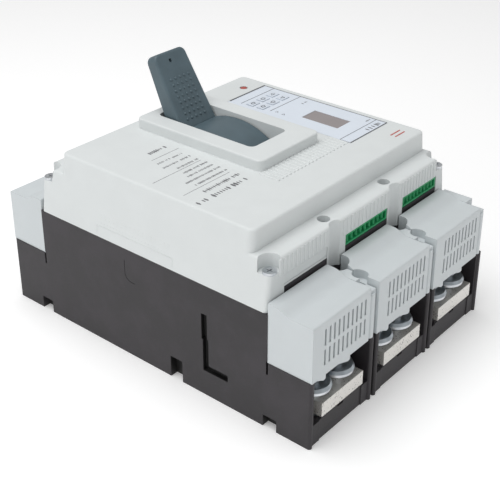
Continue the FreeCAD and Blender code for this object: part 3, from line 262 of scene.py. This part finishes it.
def make_finishes():
    made = {
        "charcoal_moulding": charcoal("charcoal_moulding"),
        "grey_moulding": moulding("grey_moulding", (0.715, 0.745, 0.745), 0.5, mottle=0.012),
        "terminal_cover_grey": moulding("terminal_cover_grey", (0.62, 0.66, 0.675), 0.48, mottle=0.012),
        "handle_slate": moulding("handle_slate", (0.085, 0.126, 0.148), 0.45, mottle=0.08),
        "tinned_bar": tinned("tinned_bar"),
        "contact_copper": metal("contact_copper", (0.72, 0.42, 0.27), 0.35),
        "zinc_steel": zinc("zinc_steel"),
        "dark_steel": metal("dark_steel", (0.32, 0.32, 0.33), 0.42),
        "spring_steel": metal("spring_steel", (0.45, 0.45, 0.46), 0.3),
        "chute_fibre": moulding("chute_fibre", (0.5, 0.4, 0.3), 0.7),
        "sensor_resin": moulding("sensor_resin", (0.08, 0.11, 0.18), 0.5),
        "unit_black": moulding("unit_black", (0.035, 0.035, 0.04), 0.5),
        "board_green": moulding("board_green", (0.03, 0.16, 0.08), 0.3),
        "label_film": moulding("label_film", (0.74, 0.8, 0.88), 0.32, depth=0.000005, mottle=0.01),
        "display_grey": moulding("display_grey", (0.30, 0.27, 0.27), 0.18, depth=0.000002, mottle=0.03),
        "key_grey": moulding("key_grey", (0.70, 0.76, 0.84), 0.35, mottle=0.02),
        "button_red": moulding("button_red", (0.45, 0.08, 0.06), 0.35),
        "connector_green": moulding("connector_green", (0.02, 0.36, 0.13), 0.38),
        "pin_tin": metal("pin_tin", (0.75, 0.75, 0.74), 0.25),
    }
    return {slot: finish.material for slot, finish in made.items()}


def charcoal(name):
    """Glass-filled charcoal moulding, cloudy and finely flecked, with near-black painted shade inside the side
    grooves.
    """
    finish = Finish(name, CHARCOAL, 0.5)
    cloud = finish.noise(0.03, 5, 0.62)
    fleck = finish.noise(0.0012, 2, 0.5).rise(0.62, 0.78)
    tone = finish.mix(cloud.rise(0.35, 0.7), shade(CHARCOAL, 0.8), shade(CHARCOAL, 1.5))
    across, along, up = finish.axes()
    # Painted shade: the insides of the side grooves are coloured near black, standing for the shade in them.
    groove_shade_mask = abs(across).fall(*GROOVE_OUTER) * abs(across).rise(*GROOVE_INNER)
    groove_shade_mask = groove_shade_mask * abs(along).fall(*GROOVE_END)
    plain = finish.mix(fleck * 0.25, tone, CHARCOAL_FLECK)
    finish.set("Base Color", finish.mix(groove_shade_mask * up.fall(*GROOVE_TOP), plain, PAINTED_GROOVE_SHADE))
    finish.set("Roughness", 0.42 + 0.25 * cloud)
    finish.bump(finish.noise(0.0007, 3, 0.6), 0.00005, finish.soft_edges(0.0006))
    return finish


def metal(name, colour, roughness):
    finish = Finish(name, colour, roughness, 1.0)
    cloud = finish.noise(0.006, 4, 0.6)
    finish.set("Base Color", finish.mix(cloud.rise(0.3, 0.7), shade(colour, 0.85), shade(colour, 1.1)))
    finish.set("Roughness", roughness + 0.25 * (cloud - 0.5))
    finish.bump(finish.noise(0.0008, 2, 0.5), 0.00002, finish.soft_edges(0.0004))
    return finish


def zinc(name):
    """Zinc plate; the big dished washers, known by their height, have a darker blue passivation."""
    finish = Finish(name, (0.62, 0.65, 0.68), 0.3, 1.0)
    height = finish.axes()[2]
    dished = height.rise(*WASHER_FOOT) * height.fall(*WASHER_CROWN)
    cloud = finish.noise(0.006, 4, 0.6)
    bright = finish.mix(cloud.rise(0.3, 0.7), (0.5, 0.53, 0.56), (0.72, 0.74, 0.76))
    blue = finish.mix(cloud, (0.28, 0.32, 0.35), (0.5, 0.54, 0.57))
    finish.set("Base Color", finish.mix(dished, bright, blue))
    finish.set("Roughness", 0.22 + 0.25 * cloud)
    finish.bump(finish.noise(0.0008, 2, 0.5), 0.00002, finish.soft_edges(0.0004))
    return finish


def tinned(name):
    """Tin plate with dark specks that crowd towards patches."""
    finish = Finish(name, TIN, 0.35, 0.5)
    patch = finish.noise(0.012, 3, 0.6)
    speck = finish.noise(0.0011, 2, 0.6)
    spots = (speck + 0.35 * (patch - 0.5)).rise(0.61, 0.70)
    finish.set("Base Color", finish.mix(spots, TIN, TIN_SPECK))
    finish.set("Roughness", 0.22 + 0.2 * patch)
    finish.set("Metallic", 0.5 - 0.45 * spots)
    finish.bump(finish.noise(0.0009, 3, 0.6), 0.00004, finish.soft_edges(0.0004))
    return finish


def paint_nodes(finishes):
    for entry in record["subparts"]:
        for place in nodes[entry["node"]].material_slots:
            place.material = finishes[entry["material_slot"]]


# ---------------------------------------------------------------- repeated and traced pieces

class Tree:
    """A geometry tree with named sizes, fed one piece at a time and turned into plain meshes."""

    KINDS = {int: "NodeSocketInt", float: "NodeSocketFloat"}

    def __init__(self, name, **sizes):
        self.tree = bpy.data.node_groups.new(name, "GeometryNodeTree")
        self.keys = {}
        self._socket("Geometry", "NodeSocketGeometry")
        self._socket("Finish", "NodeSocketMaterial")
        for key, value in sizes.items():
            self._socket(key, self.KINDS[type(value)]).default_value = value
        self.tree.interface.new_socket("Geometry", in_out="OUTPUT", socket_type="NodeSocketGeometry")
        self.entry = self.tree.nodes.new("NodeGroupInput")

    def _socket(self, key, kind):
        socket = self.tree.interface.new_socket(key, in_out="INPUT", socket_type=kind)
        self.keys[key] = socket.identifier
        return socket

    def size(self, key):
        return self.entry.outputs[key]

    def add(self, kind, settings=None, inputs=None, output=0):
        made = self.tree.nodes.new(kind)
        for key, value in (settings or {}).items():
            setattr(made, key, value)
        for key, value in (inputs or {}).items():
            if isinstance(value, bpy.types.NodeSocket):
                self.tree.links.new(value, made.inputs[key])
            else:
                made.inputs[key].default_value = value
        return made.outputs[output]

    def vector(self, x=0.0, y=0.0, z=0.0):
        return self.add("ShaderNodeCombineXYZ", None, {"X": x, "Y": y, "Z": z})

    def finish(self, shape):
        real = self.add("GeometryNodeRealizeInstances", None, {"Geometry": shape})
        painted = self.add("GeometryNodeSetMaterial", None,
                           {"Geometry": real, "Material": self.size("Finish")})
        leave = self.tree.nodes.new("NodeGroupOutput")
        self.tree.links.new(painted, leave.inputs[0])
        return self

    def shape(self, material, place, source=None, **sizes):
        """The tree's result at these sizes as a plain mesh, moved to its place."""
        item = bpy.data.objects.new("working", source or bpy.data.meshes.new("working"))
        bpy.context.scene.collection.objects.link(item)
        modifier = item.modifiers.new("working", "NODES")
        modifier.node_group = self.tree
        modifier[self.keys["Finish"]] = material
        for key, value in sizes.items():
            modifier[self.keys[key]] = value
        ready = item.evaluated_get(bpy.context.evaluated_depsgraph_get())
        mesh = bpy.data.meshes.new_from_object(ready)
        bpy.data.objects.remove(item)
        mesh.transform(place)
        return mesh


def one_piece(name, meshes, body, material):
    """Joins meshes into one named piece that rides a body."""
    shape = bmesh.new()
    for mesh in meshes:
        shape.from_mesh(mesh)
    mesh = bpy.data.meshes.new(name)
    shape.to_mesh(mesh)
    shape.free()
    mesh.materials.clear()
    mesh.materials.append(material)
    piece = bpy.data.objects.new(name, mesh)
    bpy.context.scene.collection.objects.link(piece)
    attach(piece, body)
    return piece


def ridge_tree():
    """A row along X of slender oval ridges that each run along Y, half sunk in the XY plane."""
    tree = Tree("rounded_ridges", Count=8, Pitch=0.0025, Length=0.01, Width=0.001, Height=0.0005)
    half = tree.add("ShaderNodeMath", {"operation": "MULTIPLY"}, {0: tree.size("Width"), 1: 0.5})
    circle = tree.add("GeometryNodeCurvePrimitiveCircle", None, {"Resolution": 10, "Radius": 1.0})
    profile = tree.add("GeometryNodeTransform", None,
                       {"Geometry": circle, "Scale": tree.vector(half, tree.size("Height"), 1.0)})
    line = tree.add("GeometryNodeCurvePrimitiveLine", None, {"End": tree.vector(0.0, tree.size("Length"))})
    ridge = tree.add("GeometryNodeCurveToMesh", None,
                     {"Curve": line, "Profile Curve": profile, "Fill Caps": True})
    row = tree.add("GeometryNodeMeshLine", None,
                   {"Count": tree.size("Count"), "Offset": tree.vector(tree.size("Pitch"))})
    return tree.finish(tree.add("GeometryNodeInstanceOnPoints", None, {"Points": row, "Instance": ridge}))


def trace_tree():
    """A thin round bead that follows every edge of the given mesh."""
    tree = Tree("traced_bead", Radius=0.0001)
    path = tree.add("GeometryNodeMeshToCurve", None, {"Mesh": tree.size("Geometry")})
    ring = tree.add("GeometryNodeCurvePrimitiveCircle", None,
                    {"Resolution": 6, "Radius": tree.size("Radius")})
    return tree.finish(tree.add("GeometryNodeCurveToMesh", None,
                                {"Curve": path, "Profile Curve": ring, "Fill Caps": True}))


def print_tree():
    """A row along X of short printed strokes of random width, with gaps between words."""
    tree = Tree("printed_strokes", Count=12, Pitch=0.002, Height=0.002, Seed=1)
    row = tree.add("GeometryNodeMeshLine", None,
                   {"Count": tree.size("Count"), "Offset": tree.vector(tree.size("Pitch"))})
    gaps = tree.add("FunctionNodeRandomValue", {"data_type": "BOOLEAN"},
                    {"Probability": 0.12, "Seed": tree.size("Seed")}, output=3)
    words = tree.add("GeometryNodeDeleteGeometry", None, {"Geometry": row, "Selection": gaps})
    wide = tree.add("FunctionNodeRandomValue", {"data_type": "FLOAT"},
                    {2: 0.4, 3: 0.85, "Seed": tree.size("Seed")}, output=1)
    tall = tree.add("FunctionNodeRandomValue", {"data_type": "FLOAT"},
                    {2: 0.7, 3: 1.15, "Seed": tree.size("Seed")}, output=1)
    across = tree.add("ShaderNodeMath", {"operation": "MULTIPLY"}, {0: wide, 1: tree.size("Pitch")})
    up = tree.add("ShaderNodeMath", {"operation": "MULTIPLY"}, {0: tall, 1: tree.size("Height")})
    stroke = tree.add("GeometryNodeMeshCircle", {"fill_type": "NGON"}, {"Vertices": 6, "Radius": 0.55})
    return tree.finish(tree.add("GeometryNodeInstanceOnPoints", None,
                                {"Points": words, "Instance": stroke, "Scale": tree.vector(across, up, 1.0)}))


def bump_tree():
    """A grid of low rounded bumps on the XY plane."""
    tree = Tree("low_bumps", Columns=5, Rows=8, Wide=0.02, Deep=0.03, Radius=0.0008, Height=0.0004)
    grid = tree.add("GeometryNodeMeshGrid", None,
                    {"Vertices X": tree.size("Columns"), "Vertices Y": tree.size("Rows"),
                     "Size X": tree.size("Wide"), "Size Y": tree.size("Deep")})
    bump = tree.add("GeometryNodeMeshIcoSphere", None, {"Radius": 1.0, "Subdivisions": 2})
    spread = tree.vector(tree.size("Radius"), tree.size("Radius"), tree.size("Height"))
    return tree.finish(tree.add("GeometryNodeInstanceOnPoints", None,
                                {"Points": grid, "Instance": bump, "Scale": spread}))


def path_mesh(*runs):
    """A mesh of bare edges along each run of points; a run that ends where it began is a closed loop."""
    mesh = bpy.data.meshes.new("path")
    spots, edges = [], []
    for run in runs:
        closed = run[0] == run[-1]
        points = run[:-1] if closed else run
        first = len(spots)
        spots += points
        edges += [(first + i, first + i + 1) for i in range(len(points) - 1)]
        if closed:
            edges.append((first + len(points) - 1, first))
    mesh.from_pydata(spots, edges, [])
    return mesh


def facing(spot, along, out):
    """A place whose X runs along one direction and whose Z points out of a surface."""
    along, out = Vector(along).normalized(), Vector(out).normalized()
    across = out.cross(along)
    turn = Matrix((along, across, out)).transposed().to_4x4()
    return Matrix.Translation(spot) @ turn


# ---------------------------------------------------------------- details of this breaker

COVER_TOP = FACE[1].z
FRONT_FACE = COVER[0].y
POLE_PITCH = (CASE_HIGH.x - CASE_LOW.x) / 3
COVER_FOOT, SIDE_LEAN = 0.087, 0.007
PRINT_LIFT = 0.00004

# The grip, measured from its hinge line, with its front thickness tapering from foot to tip.
HANDLE_LEAN = math.radians(28)
GRIP_FOOT, GRIP_REACH = 0.056, 0.1177
GRIP_FOOT_THICK, GRIP_TIP_THICK = 0.015, 0.010

# The ribbed part of each step block, left and right of its pole's centre line.
BLOCK_RIBS = {-POLE_PITCH: (-0.0215, 0.0245), 0: (-0.0245, 0.0245), POLE_PITCH: (-0.0245, 0.0175)}


def add_cover_ribs(ridges, paint):
    """The fine grip ribs on the top of the cover, towards the line end."""
    place = Matrix.Translation((-0.0345, -0.0585, COVER_TOP))
    shape = ridges.shape(paint, place, Count=20, Pitch=0.0041, Length=0.0165, Width=0.0021, Height=0.0006)
    one_piece("cover_ribs", [shape], "case", paint)


def add_block_ribs(ridges, paint):
    """Upright ribs on the upper front of each step block."""
    shapes, count = [], 12
    for centre, (low, high) in BLOCK_RIBS.items():
        place = facing((centre + low, FRONT_FACE, 0.1078), (1, 0, 0), (0, -1, 0))
        shapes.append(ridges.shape(paint, place, Count=count, Pitch=(high - low) / (count - 1),
                                   Length=0.0117, Width=0.0026, Height=0.0006))
    one_piece("block_ribs", shapes, "case", paint)


def add_header_teeth(ridges, paint):
    """Comb teeth inside both signal headers, and the two latch tabs on top of each."""
    shapes, tabs = [], []
    for name in ("signal_header_middle", "signal_header_right"):
        low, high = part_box(name)
        wall, count = 0.0014, 9
        pitch = (high.x - low.x - 2 * wall) / count
        place = facing((low.x + wall + pitch / 2, low.y + 0.0048, low.z + wall), (1, 0, 0), (0, -1, 0))
        shapes.append(ridges.shape(paint, place, Count=count, Pitch=pitch, Length=high.z - low.z - 2 * wall,
                                   Width=0.0021, Height=0.0044))
        for share in (0.09, 0.88):
            x = low.x + share * (high.x - low.x)
            tabs.append(latch_tab((x, low.y + 0.0009, high.z + 0.0005)))
    one_piece("header_teeth", shapes + tabs, "case", paint)


def latch_tab(spot):
    """A small wedge-headed tab, 1.2 wide and 2.6 tall."""
    outline = [(-0.0008, -0.0009), (0.0008, -0.0009), (0.0008, 0.001), (0.0002, 0.0017), (-0.0008, 0.0013)]
    shape = bmesh.new()
    ends = [[shape.verts.new((spot[0] + side * 0.0006, spot[1] + y, spot[2] + z)) for y, z in outline]
            for side in (-1, 1)]
    count = len(outline)
    shape.faces.new(list(reversed(ends[0])))
    shape.faces.new(ends[1])
    for i in range(count):
        shape.faces.new((ends[0][i], ends[0][(i + 1) % count], ends[1][(i + 1) % count], ends[1][i]))
    bmesh.ops.recalc_face_normals(shape, faces=shape.faces)
    mesh = bpy.data.meshes.new("latch_tab")
    shape.to_mesh(mesh)
    shape.free()
    return mesh


def grip_place(up, out):
    """A place on the front of the leaning grip, up from the hinge line, with X along the hinge."""
    pivot = Vector(JOINTS["handle_swing"]["pos_m"])
    lean = Matrix.Rotation(-HANDLE_LEAN, 4, "X")
    taper = math.atan(0.5 * (GRIP_FOOT_THICK - GRIP_TIP_THICK) / (GRIP_REACH - GRIP_FOOT))
    local = Matrix.Translation((0, -out, up)) @ Matrix.Rotation(math.pi / 2 - taper, 4, "X")
    return Matrix.Translation(pivot) @ lean @ local


def add_grip_bumps(bumps, paint):
    """Finger bumps on the lower half of the grip's front."""
    middle = 0.0815
    share = (middle - GRIP_FOOT) / (GRIP_REACH - GRIP_FOOT)
    out = 0.5 * (GRIP_FOOT_THICK + share * (GRIP_TIP_THICK - GRIP_FOOT_THICK))
    shape = bumps.shape(paint, grip_place(middle, out), Columns=5, Rows=8, Wide=0.0185, Deep=0.031,
                        Radius=0.0012, Height=0.0008)
    one_piece("grip_bumps", [shape], "handle", paint)


def side_point(y, z):
    """A point on the sloping left side of the front cover."""
    slope = SIDE_LEAN / (COVER_TOP - COVER_FOOT)
    return (CASE_LOW.x + slope * (z - COVER_FOOT), y, z)


def add_side_panel(traces, bumps, paint):
    """The outlined panel low on the left side of the cover, with rows of small specks above it."""
    low, high, foot, top, sink = -0.025, 0.047, 0.0895, 0.0952, 0.00012
    outline = path_mesh([side_point(y, z) for y, z in ((low, foot), (low, top), (high, top), (high, foot))])
    shapes = [traces.shape(paint, Matrix.Translation((sink, 0, 0)), outline, Radius=0.00036)]
    out = (-1, 0, SIDE_LEAN / (COVER_TOP - COVER_FOOT))
    for height, count in ((0.0965, 22), (0.1025, 17)):
        place = facing(side_point((low + high) / 2, height), (0, -1, 0), out)
        shapes.append(bumps.shape(paint, place, Columns=count, Rows=2, Wide=0.064, Deep=0.0022,
                                  Radius=0.0004, Height=0.00022))
    one_piece("side_panel_marks", shapes, "case", paint)


# Printed rows on the cover, as the row's Y, its left and right X, and its height, in millimetres.
COVER_ROWS = [(37, -60, -44, 3.4), (21, -68, -56, 2.0), (20.5, -54, -45, 1.6), (13.5, -70, -44, 2.2),
              (6, -64, -44, 2.2), (-2.2, -67, -44, 2.2), (-8, -69, -44, 2.2), (-14, -77, -44, 2.2),
              (-20.4, -76, -44, 2.2), (-31, -78, -44, 3.4), (-39.4, -93, -45, 4.4)]
COVER_RULES = [(28, -67, -40), (2.9, -91.4, -44.5), (-24.6, -91, -46)]

# Printed rows on and below the trip unit's face: start, number of strokes, pitch and height, in millimetres.
FACE_ROWS = [(81.5, 11, 4, 1.6, 2.6), (72.5, -55.6, 9, 1.9, 4.2), (84.5, -46.4, 4, 1.5, 1.8)]


def add_cover_print(prints, traces, ink):
    """The block of generic printed rows and thin rules on the left of the cover."""
    shapes = []
    lift = COVER_TOP + PRINT_LIFT
    for seed, (y, left, right, tall) in enumerate(COVER_ROWS, start=3):
        pitch = 0.55 * tall
        place = Matrix.Translation((left * MM, y * MM, lift))
        shapes.append(prints.shape(ink, place, Count=int((right - left) / pitch) + 1, Pitch=pitch * MM,
                                   Height=tall * MM, Seed=seed))
    rules = path_mesh(*[[(left * MM, y * MM, COVER_TOP), (right * MM, y * MM, COVER_TOP)]
                        for y, left, right in COVER_RULES])
    shapes.append(traces.shape(ink, Matrix(), rules, Radius=0.00014))
    one_piece("cover_print", shapes, "case", ink)


def add_face_print(prints, traces, ink, red):
    """Frame lines, dividing lines and small marks on the trip unit's face."""
    left, right = FACE[0].x + 0.0004, FACE[1].x - 0.0006
    front, back = FACE[0].y + 0.0004, FACE[1].y - 0.0004

    upper, middle, lower = 0.0478, 0.021, -0.0505

    def at(x, y):
        return (x, y, COVER_TOP)

    def bead(path, radius):
        return traces.shape(ink, Matrix(), path, Radius=radius)

    thin = path_mesh([at(left + 0.006, upper), at(right, upper)],
                     [at(left + 0.0085, middle), at(right, middle)],
                     [at(left, lower), at(right, lower)], [at(right, back), at(right, front)])
    thick = path_mesh([at(left + 0.004, back), at(right, back)])
    end = path_mesh([at(left, front), at(right, front)])
    edge = path_mesh([at(left, lower), at(left, front)])
    arrows = path_mesh(*[[at(x, y - 0.0012), at(x + 0.0022, y), at(x, y + 0.0012)]
                         for x, y in ((0.0546, 0.0155), (0.054, 0.0088))])
    shapes = [bead(thin, 0.00022), bead(thick, 0.0006), bead(end, 0.0004), bead(edge, 0.00014),
              bead(arrows, 0.00022)]
    for seed, (x, y, count, pitch, tall) in enumerate(FACE_ROWS, start=31):
        place = Matrix.Translation((x * MM, y * MM, COVER_TOP + PRINT_LIFT))
        shapes.append(prints.shape(ink, place, Count=count, Pitch=pitch * MM, Height=tall * MM, Seed=seed))
    one_piece("face_print", shapes, "case", ink)
    dashes = path_mesh([at(0.0745, -0.0785), at(0.0865, -0.0785)], [at(0.0745, -0.0745), at(0.0865, -0.0745)])
    one_piece("cover_mark", [traces.shape(red, Matrix(), dashes, Radius=0.0005)], "case", red)


def add_key_marks(traces, ink):
    """A small outlined sign on each of the six keys, different from key to key."""
    for number in range(1, 7):
        low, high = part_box(f"trip_key_{number}")
        centre = ((low.x + high.x) / 2, (low.y + high.y) / 2, high.z)
        sides = 3 + number % 3
        turn = 0.5 * number
        loop = [(centre[0] + 0.0022 * math.cos(turn + math.tau * i / sides),
                 centre[1] + 0.0016 * math.sin(turn + math.tau * i / sides), centre[2]) for i in range(sides)]
        shape = traces.shape(ink, Matrix(), path_mesh(loop + loop[:1]), Radius=0.0003)
        one_piece(f"key_{number}_mark", [shape], f"key_{number}", ink)


def add_details(finishes):
    ridges, traces, prints, bumps = ridge_tree(), trace_tree(), print_tree(), bump_tree()
    ink = moulding("printing_ink", (0.16, 0.16, 0.17), 0.6, mottle=0.2).material
    red = moulding("red_ink", (0.55, 0.12, 0.1), 0.5).material
    add_cover_ribs(ridges, finishes["grey_moulding"])
    add_block_ribs(ridges, finishes["grey_moulding"])
    add_header_teeth(ridges, finishes["connector_green"])
    add_grip_bumps(bumps, finishes["handle_slate"])
    add_side_panel(traces, bumps, finishes["grey_moulding"])
    add_cover_print(prints, traces, ink)
    add_face_print(prints, traces, ink, red)
    add_key_marks(traces, ink)


make_camera()
make_surroundings()
finishes = make_finishes()
paint_nodes(finishes)
add_details(finishes)
